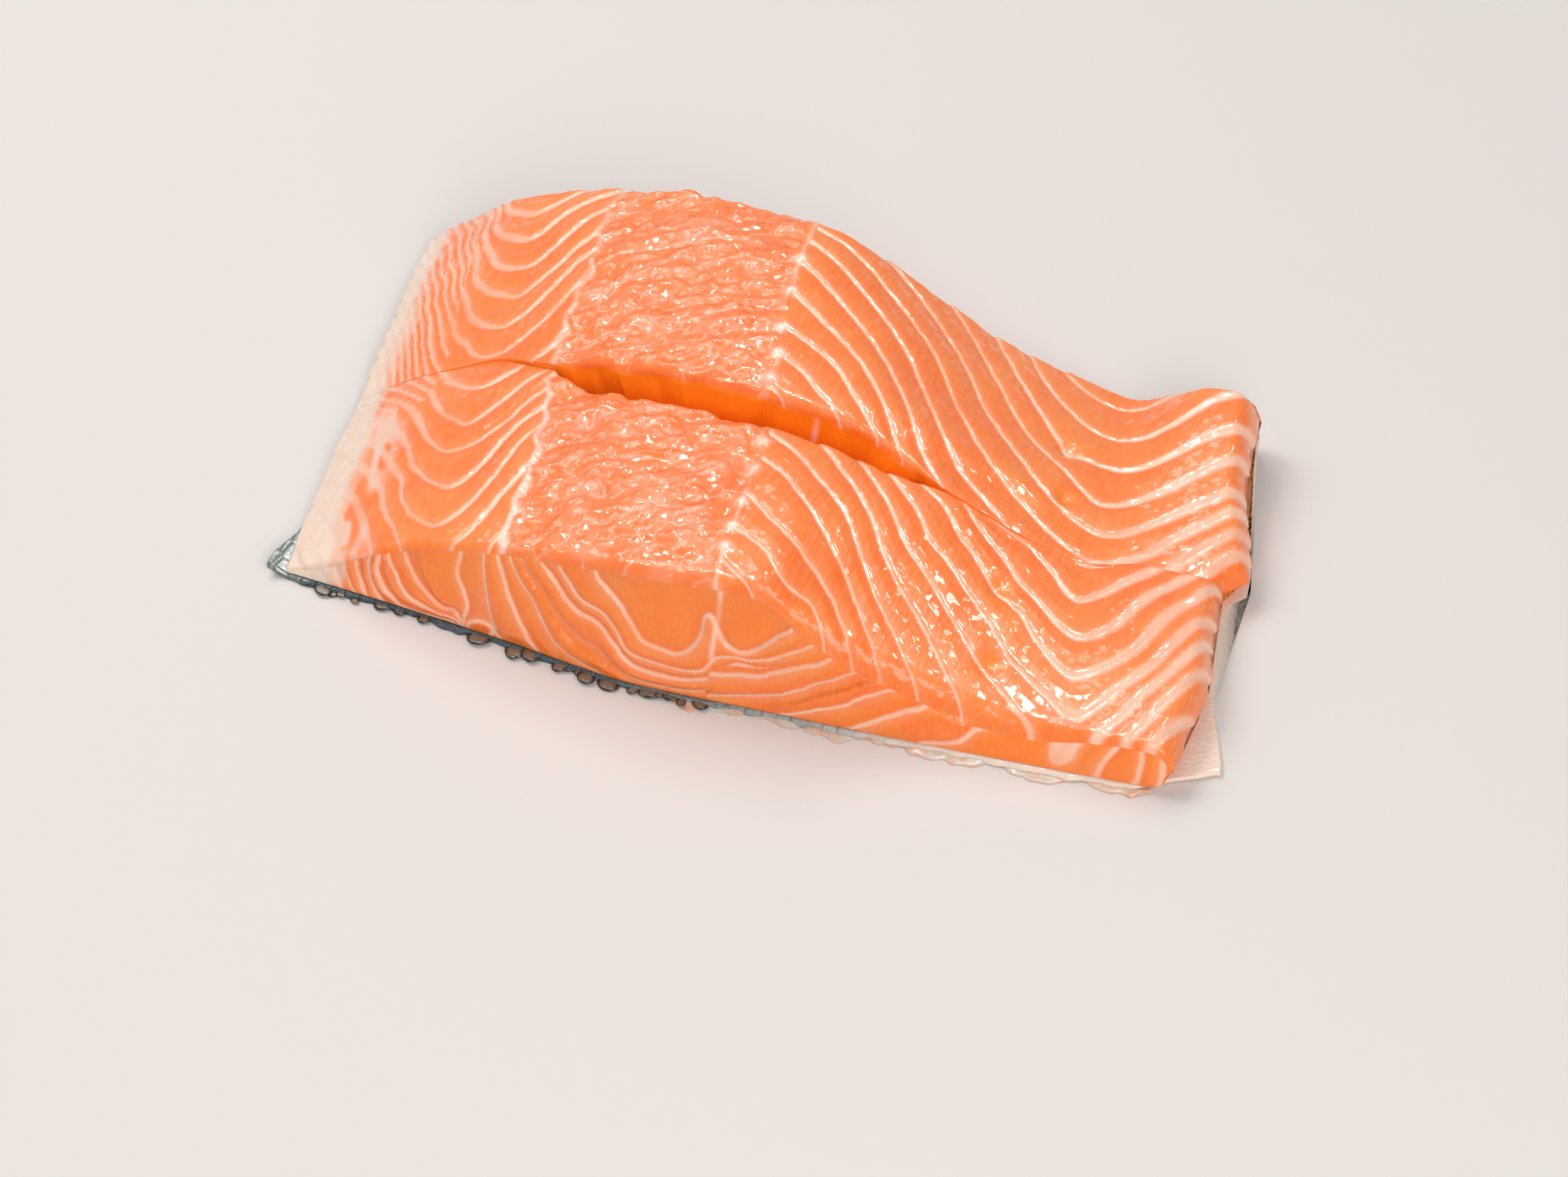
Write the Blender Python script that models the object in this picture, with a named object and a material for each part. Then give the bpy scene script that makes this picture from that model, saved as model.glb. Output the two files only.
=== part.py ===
"""Raw salmon fillet: two portions, cut right across, that still lie together on their skin.

The fish's length runs along Y, its back is at -X and its belly at +X. The thick loin is
left of the middle and the thin belly flap is on the right. Three solids: the front and
back portions of flesh, and the one sheet of skin under both.
"""
import bmesh
import bpy

MM = 0.001

# Driving dimensions, in millimetres
WIDTH = 210.0          # back edge to belly edge, along the front cut
SIDE_SLANT = 0.13      # how far the side edges run towards -X for each mm of +Y
SKIN_THICKNESS = 1.2
TOUCH_GAP = 0.35       # between pieces that lie against each other
FLAP_LIFT = 3.5        # how high the back corner of the belly flap stands off the surface
LIP_HEIGHT = 1.4       # rise of the loose corner of skin past the back edge
LIP_REACH = 1.5        # and how far it stands out there

# Cut lines seen from above: (fraction of the width, Y)
FRONT_CUT = [(0, 0), (0.12, -2), (0.26, -5), (0.43, -9), (0.56, -8), (0.74, -6.3), (1, -3)]
MIDDLE_CUT = [(0, 59), (0.1, 60.2), (0.17, 59.6), (0.24, 55.2), (0.3, 52.7), (0.4, 51.2),
              (0.6, 50.6), (0.7, 48.4), (0.84, 46.2), (0.92, 53.2), (1, 55.5)]
BACK_CUT = [(0, 121), (0.5, 117), (1, 112)]

# Heights of the flesh above the surface: (fraction of the width, height)
FRONT_HEIGHT = [(0, 2.4), (0.06, 8.8), (0.12, 16.2), (0.22, 24.8), (0.31, 30.8), (0.43, 35.6),
                (0.55, 36.7), (0.6, 31), (0.65, 24), (0.74, 17), (0.84, 12.3), (1, 12.6)]
SLIT_FRONT_HEIGHT = [(0, 2.6), (0.06, 11.5), (0.12, 18.5), (0.23, 29.3), (0.31, 33.4),
                     (0.44, 36.2), (0.55, 34.6), (0.66, 28.6), (0.78, 19.5), (0.88, 14),
                     (1, 10.5)]
SLIT_BACK_HEIGHT = [(0, 2.6), (0.06, 11.8), (0.12, 19), (0.23, 30.8), (0.31, 36.2), (0.44, 38.8),
                    (0.55, 36.6), (0.66, 29.6), (0.78, 19.8), (0.88, 14), (1, 10.5)]
BACK_HEIGHT = [(0, 3), (0.04, 10.3), (0.14, 25.7), (0.24, 33.3), (0.34, 38.3), (0.42, 39),
               (0.51, 37.1), (0.6, 28), (0.7, 16.3), (0.78, 10.6), (0.85, 7.8), (0.95, 14.8),
               (1, 13.8)]

# Half of the slit's opening at the top: (fraction of the width, mm)
SLIT_OPENING = [(0, 0), (0.24, 0), (0.29, 2.6), (0.37, 3.8), (0.59, 3.7), (0.68, 0.8),
                (0.71, 0), (1, 0)]

# Belly edge: (Y, reach as a fraction of the width)
BELLY_EDGE_FRONT = [(-9, 0.995), (0, 1.014), (12, 1.022), (24, 1.03), (38, 1.025), (56, 1.02)]
BELLY_EDGE_BACK = [(46, 1.022), (56, 1.02), (63, 1.043), (72, 1.035), (88, 1.019), (122, 1.013)]
SKIN_EDGE = [(-9, 0.998), (0, 1.03), (6, 1.06), (16, 1.05), (28, 1.034), (56, 1.023),
             (63, 1.044), (88, 1.02), (122, 1.013)]

FRONT_LEAN = 3.0       # top edge of the front cut, back from its foot
BACK_LEAN = -1.0       # top edge of the back cut, forward from its foot
CROWN = 1.5            # how much a portion rises between its two cuts
EDGE_RADIUS = 2.2      # rounding along the top of a cut
FLAP_RADIUS = 5.0      # rounding along the belly edge, across the fillet
MEMBRANE_FRONT = 6.0   # Y where the thin membrane past the belly edge ends
FLAP_LIP = 0.45        # height left at the very edge of the flap, as a fraction
FRINGE = 0.8           # skin that shows past the flesh along the front cut

STATIONS = 46          # cross-sections from back edge to belly edge
SKIN_STATIONS = 40
SKIN_STEPS = 14

FLESH_COLOUR = (1.0, 0.26, 0.09, 1.0)
SKIN_COLOUR = (0.18, 0.20, 0.20, 1.0)


def blend(start, end, share):
    return start + (end - start) * share


def smoothstep(low, high, value):
    """0 at low and 1 at high, which may be the smaller of the two."""
    share = min(max((value - low) / (high - low), 0.0), 1.0)
    return share * share * (3.0 - 2.0 * share)


def curve_at(points, position):
    """Height of the smooth curve through points, with no overshoot between them."""
    last = len(points) - 2
    position = min(max(position, points[0][0]), points[-1][0])
    index = 0
    while index < last and position > points[index + 1][0]:
        index += 1

    def slope(i):
        (x0, y0), (x1, y1) = points[i], points[i + 1]
        return (y1 - y0) / (x1 - x0)

    def tangent(i):
        if i == 0 or i == last + 1:
            return slope(min(i, last))
        before, after = slope(i - 1), slope(i)
        if before * after <= 0.0:
            return 0.0
        return 2.0 * before * after / (before + after)

    (x0, y0), (x1, y1) = points[index], points[index + 1]
    step = x1 - x0
    t = (position - x0) / step
    return (y0 * (1.0 + 2.0 * t) * (1.0 - t) ** 2
            + y1 * t * t * (3.0 - 2.0 * t)
            + step * tangent(index) * t * (1.0 - t) ** 2
            - step * tangent(index + 1) * t * t * (1.0 - t))


def lift(x, y):
    """How far the whole thickness stands off the surface at the flap's back corner."""
    across = (x + SIDE_SLANT * y) / WIDTH
    return FLAP_LIFT * smoothstep(0.87, 1.01, across) * smoothstep(70.0, 105.0, y)


def plan_x(across, y, edge):
    """X at a fraction of the width, out to the belly edge at this Y."""
    return WIDTH * across * curve_at(edge, y) - SIDE_SLANT * y


def flap_rounding(across):
    """Fraction of the height left near the belly edge, which is rounded over."""
    share = max((across - 1.0) * WIDTH / FLAP_RADIUS + 1.0, 0.0)
    return FLAP_LIP + (1.0 - FLAP_LIP) * max(1.0 - share * share, 0.0) ** 0.5


def wall(foot_y, top_y, floor_z, top_z, power, steps=4):
    """A cut's face as (y, z) from its foot upwards, steeper or flatter by its power."""
    points = []
    for i in range(steps):
        share = i / steps
        points.append((blend(foot_y, top_y, share ** power), blend(floor_z, top_z, share)))
    return points


def flesh_section(foot, top, height):
    """Closed ring of (y, z) for one cross-section: underside, back wall, top, front wall.

    foot, top and height are pairs, for the section's front and back ends.
    """
    floor_z = SKIN_THICKNESS + TOUCH_GAP
    radius = min(EDGE_RADIUS, 0.45 * (min(height) - floor_z), 0.2 * (top[1] - top[0]))
    shoulder = [h - radius for h in height]
    ring = [(blend(foot[0], foot[1], i / 6), floor_z) for i in range(6)]
    ring += wall(foot[1], top[1], floor_z, shoulder[1], 1.3)
    corner = [(0.0, 0.0), (0.08, 0.38), (0.3, 0.7), (0.62, 0.92)]
    ring += [(top[1] - a * radius, shoulder[1] + b * radius) for a, b in corner]
    steps = 11
    for i in range(steps + 1):
        share = i / steps
        crown = CROWN * 4.0 * share * (1.0 - share)
        ring.append((blend(top[1] - radius, top[0] + radius, share),
                     blend(height[1], height[0], share) + crown))
    ring += [(top[0] + a * radius, shoulder[0] + b * radius) for a, b in reversed(corner)]
    ring += wall(foot[0], top[0], floor_z, shoulder[0], 1.3)[:0:-1]
    return ring


def loft(name, rings, colour, roughness):
    """One closed solid through rings of (x, y, z) in mm, with flat ends."""
    mesh = bpy.data.meshes.new(name)
    shape = bmesh.new()
    rows = [[shape.verts.new([c * MM for c in point]) for point in ring] for ring in rings]
    count = len(rows[0])
    for row, following in zip(rows, rows[1:]):
        for i in range(count):
            j = (i + 1) % count
            shape.faces.new((row[i], row[j], following[j], following[i]))
    shape.faces.new(rows[0])
    shape.faces.new(rows[-1])
    bmesh.ops.triangulate(shape, faces=shape.faces[:])
    bmesh.ops.recalc_face_normals(shape, faces=shape.faces[:])
    shape.to_mesh(mesh)
    shape.free()

    material = bpy.data.materials.new(name + "_material")
    material.use_nodes = True
    surface = material.node_tree.nodes["Principled BSDF"]
    surface.inputs["Base Color"].default_value = colour
    surface.inputs["Roughness"].default_value = roughness
    surface.inputs["Metallic"].default_value = 0.0
    mesh.materials.append(material)
    mesh.shade_smooth()
    mesh.set_sharp_from_angle(angle=0.7)
    piece = bpy.data.objects.new(name, mesh)
    bpy.data.collections["salmon_fillet"].objects.link(piece)
    return piece


def flesh_rings(edge, feet, heights, lean):
    """Cross-sections of one portion, from the back edge to the belly edge."""
    rings = []
    for station in range(STATIONS + 1):
        across = station / STATIONS
        # stations crowd together where the flap rounds over
        across += 0.15 * (across ** 9 - across ** 14)
        foot = [foot_at(across) for foot_at in feet]
        top = [foot[i] + lean[i](across) for i in range(2)]
        rounding = flap_rounding(across)
        height = [curve_at(points, across) * rounding for points in heights]
        ring = []
        for y, z in flesh_section(foot, top, height):
            x = plan_x(across, y, edge)
            ring.append((x, y, z + lift(x, y)))
        rings.append(ring)
    return rings


def make_front_flesh():
    rings = flesh_rings(
        BELLY_EDGE_FRONT,
        (lambda u: curve_at(FRONT_CUT, u), lambda u: curve_at(MIDDLE_CUT, u) - TOUCH_GAP / 2),
        (FRONT_HEIGHT, SLIT_FRONT_HEIGHT),
        (lambda u: FRONT_LEAN * min(curve_at(FRONT_HEIGHT, u) / 20.0, 1.0),
         lambda u: -curve_at(SLIT_OPENING, u)))
    return loft("front_flesh", rings, FLESH_COLOUR, 0.3)


def make_back_flesh():
    rings = flesh_rings(
        BELLY_EDGE_BACK,
        (lambda u: curve_at(MIDDLE_CUT, u) + TOUCH_GAP / 2, lambda u: curve_at(BACK_CUT, u)),
        (SLIT_BACK_HEIGHT, BACK_HEIGHT),
        (lambda u: curve_at(SLIT_OPENING, u), lambda u: BACK_LEAN))
    return loft("back_flesh", rings, FLESH_COLOUR, 0.3)


def make_skin():
    """The sheet under both portions, with its lip past the back edge and the fringe in front."""
    rings = []
    for station in range(-1, SKIN_STATIONS + 1):
        across = max(station, 0) / SKIN_STATIONS
        front = blend(curve_at(FRONT_CUT, across) - FRINGE, MEMBRANE_FRONT,
                      smoothstep(0.955, 1.0, across))
        top, underside = [], []
        for step in range(SKIN_STEPS + 1):
            y = blend(front, curve_at(BACK_CUT, across), step / SKIN_STEPS)
            x = plan_x(across, y, SKIN_EDGE)
            z = lift(x, y)
            if station < 0:
                corner = smoothstep(20.0, 3.0, y)
                x -= blend(TOUCH_GAP, LIP_REACH, corner)
                z += LIP_HEIGHT * corner
            underside.append((x, y, z))
            top.append((x, y, z + SKIN_THICKNESS))
        rings.append(underside + top[::-1])
    return loft("skin", rings, SKIN_COLOUR, 0.35)


def stand_on_origin(pieces):
    """Move the pieces so that the middle of their footprint is at the origin."""
    corners = [piece.data.vertices for piece in pieces]
    for axis in (0, 1):
        values = [vertex.co[axis] for vertices in corners for vertex in vertices]
        middle = (min(values) + max(values)) / 2.0
        for vertices in corners:
            for vertex in vertices:
                vertex.co[axis] -= middle


def main():
    for leftover in list(bpy.data.objects):
        bpy.data.objects.remove(leftover, do_unlink=True)
    collection = bpy.data.collections.new("salmon_fillet")
    bpy.context.scene.collection.children.link(collection)
    stand_on_origin([make_front_flesh(), make_back_flesh(), make_skin()])


main()
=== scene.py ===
"""Raw salmon fillet: the looks of two portions of flesh that lie together on one sheet of skin.

Shapes are worked out in plan millimetres: the front cut's foot at the back edge is (0, 0), X runs
to the belly, Y runs along the fish and Z is up. shift() brings them to the frame's metres.
"""
import math

import bpy
import numpy as np
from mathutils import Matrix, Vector


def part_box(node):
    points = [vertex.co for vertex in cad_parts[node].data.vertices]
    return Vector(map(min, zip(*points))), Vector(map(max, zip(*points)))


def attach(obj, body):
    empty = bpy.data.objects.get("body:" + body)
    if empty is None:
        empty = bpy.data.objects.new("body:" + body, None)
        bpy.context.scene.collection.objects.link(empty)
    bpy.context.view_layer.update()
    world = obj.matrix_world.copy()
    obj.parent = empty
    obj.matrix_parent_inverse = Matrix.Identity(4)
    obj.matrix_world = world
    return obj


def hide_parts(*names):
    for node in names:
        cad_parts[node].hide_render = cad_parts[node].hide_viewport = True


bl_info = {
    "name": "Raw salmon fillet",
    "version": (1, 0, 0),
    "blender": (4, 5, 0),
    "location": "3D View > Sidebar > Fillet",
    "description": "Builds the flesh, skin and loose bits of a raw salmon fillet",
    "category": "Add Mesh",
}

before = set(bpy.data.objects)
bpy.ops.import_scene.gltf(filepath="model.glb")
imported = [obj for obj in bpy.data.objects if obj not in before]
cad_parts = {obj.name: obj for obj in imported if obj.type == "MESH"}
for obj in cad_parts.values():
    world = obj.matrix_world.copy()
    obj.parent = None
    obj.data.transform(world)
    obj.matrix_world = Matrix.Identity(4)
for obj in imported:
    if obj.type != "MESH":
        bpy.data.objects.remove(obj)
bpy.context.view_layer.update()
MM = 0.001

# ---------------------------------------------------------------- the fillet's plan and heights

# Cut lines seen from above: (fraction of the width, Y)
FRONT_CUT = [(0, 0), (0.12, -2), (0.26, -5), (0.43, -9), (0.56, -8), (0.74, -6.3), (1, -3)]
MIDDLE_CUT = [(0, 59), (0.1, 60.2), (0.17, 59.6), (0.24, 55.2), (0.3, 52.7), (0.4, 51.2),
              (0.6, 50.6), (0.7, 48.4), (0.84, 46.2), (0.92, 53.2), (1, 55.5)]
BACK_CUT = [(0, 121), (0.5, 117), (1, 112)]

# Heights of the flesh: (fraction of the width, height)
FRONT_HEIGHT = [(0, 2.4), (0.06, 8.8), (0.12, 16.2), (0.22, 24.8), (0.31, 30.8), (0.43, 35.6),
                (0.55, 36.7), (0.6, 31), (0.65, 24), (0.74, 17), (0.84, 12.3), (1, 12.6)]
SLIT_FRONT_HEIGHT = [(0, 2.6), (0.06, 11.5), (0.12, 18.5), (0.23, 29.3), (0.31, 33.4),
                     (0.44, 36.2), (0.55, 34.6), (0.66, 28.6), (0.78, 19.5), (0.88, 14),
                     (1, 10.5)]
SLIT_BACK_HEIGHT = [(0, 2.6), (0.06, 11.8), (0.12, 19), (0.23, 30.8), (0.31, 36.2), (0.44, 38.8),
                    (0.55, 36.6), (0.66, 29.6), (0.78, 19.8), (0.88, 14), (1, 10.5)]
BACK_HEIGHT = [(0, 3), (0.04, 10.3), (0.14, 25.7), (0.24, 33.3), (0.34, 38.3), (0.42, 39),
               (0.51, 37.1), (0.6, 28), (0.7, 16.3), (0.78, 10.6), (0.85, 7.8), (0.95, 14.8),
               (1, 13.8)]

# Half of the slit's opening at the top: (fraction of the width, mm)
SLIT_OPENING = [(0, 0), (0.24, 0), (0.29, 2.6), (0.37, 3.8), (0.59, 3.7), (0.68, 0.8),
                (0.71, 0), (1, 0)]

# Belly edge: (Y, reach as a fraction of the width)
BELLY_EDGE_FRONT = [(-9, 0.995), (0, 1.014), (12, 1.022), (24, 1.03), (38, 1.025), (56, 1.02)]
BELLY_EDGE_BACK = [(46, 1.022), (56, 1.02), (63, 1.043), (72, 1.035), (88, 1.019), (122, 1.013)]
SKIN_EDGE = [(-9, 0.998), (0, 1.03), (6, 1.06), (16, 1.05), (28, 1.034), (56, 1.023),
             (63, 1.044), (88, 1.02), (122, 1.013)]

FLAP_LIP = 0.45        # height left where the flap starts to round over, as a fraction
MEMBRANE_FRONT = 6.0   # Y where the thin membrane past the belly edge ends
TOUCH_GAP = 0.35       # between pieces that lie against each other
FRINGE = 0.8           # skin that shows past the flesh along the front cut

# ---------------------------------------------------------------- seams between the flakes

# Each entry is a seam: its number, then places on it in plan mm. Numbers count along the fish,
# so the flakes between two seams follow smoothly. On a cut face the places are (X, Z).
BACK_BELLY_SEAMS = {
    -4: [(152, 111), (163, 106.2), (175, 109.5)],
    -3: [(142, 113), (156, 97.5), (163, 93.3), (170, 92.5), (183, 99.5), (191, 108)],
    -2: [(131, 116), (150, 93), (161, 82.5), (171.5, 80.7), (185, 88), (199, 100)],
    -1: [(119, 116), (140, 95), (160, 76), (170, 69), (173.5, 67), (180, 70), (195, 86),
         (202, 92.5)],
    0: [(110, 113), (130, 96.5), (150, 74), (160, 65), (170, 59), (177, 57.5), (183, 60.5),
        (197, 76), (204, 82.5)],
    1: [(90, 113), (110, 104), (130, 86), (150, 63), (160, 56), (170, 50), (178, 48), (185, 52),
        (192.5, 61.5), (205.4, 77.3)],
    2: [(90, 107), (110, 95.3), (130, 74.5), (150, 52.5), (193, 50), (201.5, 64), (206.7, 70.7)],
    3: [(90, 99), (110, 86), (130, 64), (140, 51), (202, 55), (208.3, 64)],
    4: [(93, 88), (110, 77), (130, 54.5)],
    5: [(93, 77), (110, 69), (126, 53)],
    6: [(93, 69), (110, 59), (117, 54)],
}
FRONT_BELLY_SEAMS = {
    1: [(168, 50), (176.3, 46.2), (183, 52)],
    2: [(150, 50), (165, 44.5), (172, 39.5), (179.2, 34.5), (183, 38), (187, 44.5), (192, 53)],
    3: [(148, 48), (158, 40), (166, 33), (177.5, 25.3), (183.3, 23.3), (187, 26), (192.5, 39.5),
        (200, 54.5)],
    4: [(140, 46.6), (155, 35), (170, 23.7), (178, 16.6), (185.4, 12.4), (189, 14.5),
        (197.5, 29.5), (206, 53.7)],
    5: [(131.7, 46), (145, 33), (161, 21), (171, 12), (183, 5.3), (188.8, 2), (193, 5.3),
        (201, 21), (210, 45)],
    6: [(124, 46), (135, 36), (146.7, 24), (161.7, 11), (171.7, 3.7), (182.5, -4), (189, -8),
        (195, -3), (202, 12), (211, 37)],
    7: [(115, 46), (126, 37), (138, 23), (151.7, 10.3), (166, -4), (204, 2), (211, 23)],
    8: [(107.5, 42), (118, 34.5), (129, 26), (140, 12), (155.5, -4), (208, -2), (214, 16)],
    9: [(112, 31), (122.5, 22), (132.5, 12.8), (147, -4.5)],
    10: [(106, 22), (116.7, 14.5), (127, 8.7), (134, 3.7), (140.5, -4.7)],
    11: [(105, 12), (115, 7.4), (125, 0.3), (130, 0), (135.5, -7)],
}
BACK_LOIN_SEAMS = {
    1: [(8, 116), (13.5, 111.5), (18, 109.8), (23.5, 113), (28, 117)],
    2: [(4, 120), (7.5, 110), (11, 105), (16, 101.5), (21, 100), (26.5, 106.5), (29, 110)],
    3: [(5, 113), (9, 101), (13.5, 95), (21, 90), (25, 90), (30, 96.5), (33.5, 104)],
    4: [(0, 115), (6, 101), (10, 91), (13.5, 86.5), (21.5, 81.5), (26, 80.5), (30, 84),
        (33.5, 89), (37, 97)],
    5: [(-9, 121), (0, 104), (6, 93), (10, 84.5), (15, 76.5), (20, 72.5), (27.5, 70.7),
        (33, 76.5), (38, 89)],
    6: [(-10, 111.5), (-3, 99), (5, 84), (11, 75), (17.5, 67.5), (28.5, 61), (35, 66.5),
        (40.5, 77)],
    7: [(-8, 100), (0, 84), (6, 72), (10, 65), (14, 60)],
    8: [(-6, 88), (0, 76), (5, 66), (8, 60)],
    9: [(-5, 78), (0, 68), (3, 61)],
}
FRONT_LOIN_SEAMS = {
    7: [(14, 60), (19, 55), (23.5, 52), (30, 50.3), (36.5, 56)],
    8: [(15, 52), (20, 45.5), (27.5, 39.5), (30.8, 37.8), (35, 42), (41.7, 52)],
    9: [(16.5, 42), (21, 36), (25, 32), (33.7, 30), (41.7, 38), (47.5, 48)],
    10: [(17.5, 33), (21.7, 26), (31.7, 18.7), (35.7, 17), (41.7, 26), (45, 36)],
    11: [(20, 23), (23.3, 16), (27.5, 11), (38.7, 6), (45, 15.5), (47.5, 26)],
    12: [(20.8, 12), (25, 7), (31.7, -1.5), (38, -4), (44, 0), (50, 12)],
}
LOIN_FACE_SEAMS = {
    -1: [(14.6, 9.6), (15.7, 5.3), (18, 1.7)],
    0: [(17.9, 13), (18.2, 7.4), (20, 3)],
    1: [(21.8, 12.4), (21.4, 8), (25.7, 1.4)],
    2: [(24.4, 13.9), (23.9, 10.3), (25.7, 6), (29.3, 2.4)],
    3: [(26.8, 14.6), (28.6, 11), (38, 4), (45, 2)],
    4: [(31, 18.5), (31.4, 14.6), (37, 7.4), (41.4, 5)],
    5: [(45.7, 23.9), (46.4, 11.7), (47, 6), (46, 2)],
    6: [(51.4, 25.3), (52.9, 13), (54.3, 4.6), (53, 1.7)],
    7: [(55, 26.7), (57, 19.6), (60, 11.7), (66.4, 1)],
    8: [(58.6, 26), (65.7, 14.6), (70.7, 6), (82, 1.8)],
    9: [(61.4, 26.7), (66.4, 21.7), (77, 10.3), (88, 4), (97, 3)],
    10: [(65.7, 28.9), (70, 23.9), (80.7, 16), (85.7, 11), (98.6, 6), (106.4, 7.4)],
    11: [(72, 27), (77, 21), (87.9, 11.7), (93.6, 9.6), (106.4, 10.3), (109, 14), (114.6, 15.6),
         (126, 19), (134.6, 24.5)],
    12: [(80.7, 33), (81, 28.9), (90, 17.4), (99.3, 13), (106, 20), (108.5, 25), (110, 20.6),
         (114.6, 16.8), (123, 22.2), (126.5, 25.2), (126.5, 30)],
}
BELLY_FACE_SEAMS = {
    10: [(110, 9.8), (119, 11.4), (127, 15.2), (133, 17.5), (140, 22)],
    9: [(117, 5.5), (125.4, 8), (133.8, 13), (141.5, 16.8), (147, 19)],
    8: [(125, 2), (138.5, 7.5), (150, 13.7), (155.4, 16.2)],
    7: [(140.8, 2), (150, 7.5), (160, 12.2), (166.5, 13.3)],
    6: [(166, 4.5), (169, 7.5), (181.5, 11.8), (193.5, 11), (190, 6), (187.7, 3.7)],
}
FLAP_FACE_SEAMS = {
    7: [(200.8, 11.4), (198.5, 6.8), (197, 3.7)],
    8: [(206.5, 11.4), (205.8, 4)],
    9: [(211, 11.4), (211, 4)],
}

# Where the outer membrane was pulled off between the loin's flakes and the belly's flakes,
# as (Y, X): its scalloped border on the loin side and the row of bone ends on the belly side.
TORN_LEFT_BACK = [(54, 45), (60, 44.5), (72, 43), (84, 42), (96, 40.5), (107, 38), (121, 38)]
TORN_LEFT_FRONT = [(-10, 56), (8, 55), (22, 53.8), (30, 52), (38, 50.8), (45, 48.3), (53, 45.8)]
TORN_RIGHT = [(-10, 110), (4.5, 108), (19.5, 106.2), (40.5, 103.5), (50, 101), (59, 98),
              (67, 97), (76, 94.5), (88.5, 92), (100, 90), (120, 88)]
BONE_ENDS = [(109.5, -7), (108, 4.5), (107, 11), (106.2, 19.5), (104.6, 31), (103.5, 40.5),
             (98, 59), (97, 67), (94.5, 76), (92, 88.5), (90, 100)]
PITS = [(161.5, 82), (167, 64), (163.5, 29), (168, 8.7)]
# Where the small flakes along the fish's back run into the large ones, as (Y, X)
SPINE = [(-10, -20), (44, -20), (50, 14), (61, 14), (70, 12.5), (80, 11), (90, 9), (100, 6),
         (110, 2), (121, -2)]

SEAM_SPACING = 9.8     # along the fish, between the large flakes

# Kinds of surface. Each has its own seam count, and its own value in the lists below.
LOIN, TORN, BELLY, LOIN_FACE, BELLY_FACE, FLAP_FACE, SLIT, FINE_LOIN = range(8)
FLAKE_OVERLAP = [0.7, 0.5, 0.6, 0.35, 0.4, 0.3, 0.9, 0.5]     # mm, step from a flake to the next
FLAKE_BULGE = [0.9, 1.2, 0.8, 1.0, 1.0, 1.2, 3.0, 1.4]        # four times the bulge in mm
FLAKE_SHARE = [0.75, 0.5, 0.95, 0.9, 0.85, 0.9, 1.0, 0.75]    # how much of those two is kept
FLAKE_LEVEL = [0.2, 0.35, 0.1, 0.8, 0.6, 0.4, 0.8, 0.2]       # mm, one whole flake against others
GROOVE_DEPTH = 0.22    # mm, along each seam on top of the fillet
FACE_GROOVE = 0.4      # of that depth on a cut face
GROOVE_WIDTH = 0.6     # mm, from the middle of a groove to its side

FRINGE_SPAN = (0.44, 0.985)   # stretch of the front cut with ragged tissue, in fractions of width
FRINGE_THICKNESS = 0.28
SCALE_SPAN = (0.035, 0.5)     # stretch of the front cut with loose scales


# ---------------------------------------------------------------- arithmetic on arrays

def blend(start, end, share):
    return start + (end - start) * share


def smoothstep(low, high, value):
    """0 at low and 1 at high, which may be the smaller of the two."""
    share = np.clip((value - low) / (high - low), 0.0, 1.0)
    return share * share * (3.0 - 2.0 * share)


def bump(value, centre, spread):
    return np.exp(-((value - centre) / spread) ** 2)


def curve(points, position):
    """Smooth curve through points, with no overshoot between them."""
    x, y = np.array(points, dtype=float).T
    slope = np.diff(y) / np.diff(x)
    before, after = slope[:-1], slope[1:]
    bends_on = before * after > 0.0
    middle = np.where(bends_on, 2.0 * before * after / np.where(bends_on, before + after, 1.0), 0.0)
    tangent = np.concatenate([slope[:1], middle, slope[-1:]])
    position = np.clip(np.asarray(position, dtype=float), x[0], x[-1])
    i = np.clip(np.searchsorted(x, position) - 1, 0, len(slope) - 1)
    step = x[i + 1] - x[i]
    t = (position - x[i]) / step
    return (y[i] * (1.0 + 2.0 * t) * (1.0 - t) ** 2 + y[i + 1] * t * t * (3.0 - 2.0 * t)
            + step * tangent[i] * t * (1.0 - t) ** 2 - step * tangent[i + 1] * t * t * (1.0 - t))


def lattice(cell, seed):
    """A fixed value from -1 to 1 for each whole-numbered cell."""
    mixed = cell[..., 0] * 374761393 + cell[..., 1] * 668265263 + cell[..., 2] * 974634777
    mixed = (mixed + seed * 362437) & 0xFFFFFFFF
    mixed = ((mixed ^ (mixed >> 13)) * 1274126177) & 0xFFFFFFFF
    mixed = (mixed ^ (mixed >> 16)) & 0xFFFF
    return mixed / 32767.5 - 1.0


def noise(places, size, seed=0, octaves=1):
    """Smooth noise from about -1 to 1 at places (..., 3), with lumps of that size in mm."""
    total = np.zeros(places.shape[:-1])
    strength = 1.0
    for octave in range(octaves):
        scaled = places / (np.asarray(size, dtype=float) * 0.5 ** octave) + 50.0
        cell = np.floor(scaled).astype(np.int64)
        t = scaled - cell
        t = t * t * (3.0 - 2.0 * t)
        for corner in np.ndindex(2, 2, 2):
            weight = np.prod(np.where(np.array(corner) == 1, t, 1.0 - t), axis=-1)
            total += strength * weight * lattice(cell + np.array(corner), seed + octave)
        strength *= 0.5
    return total


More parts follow.
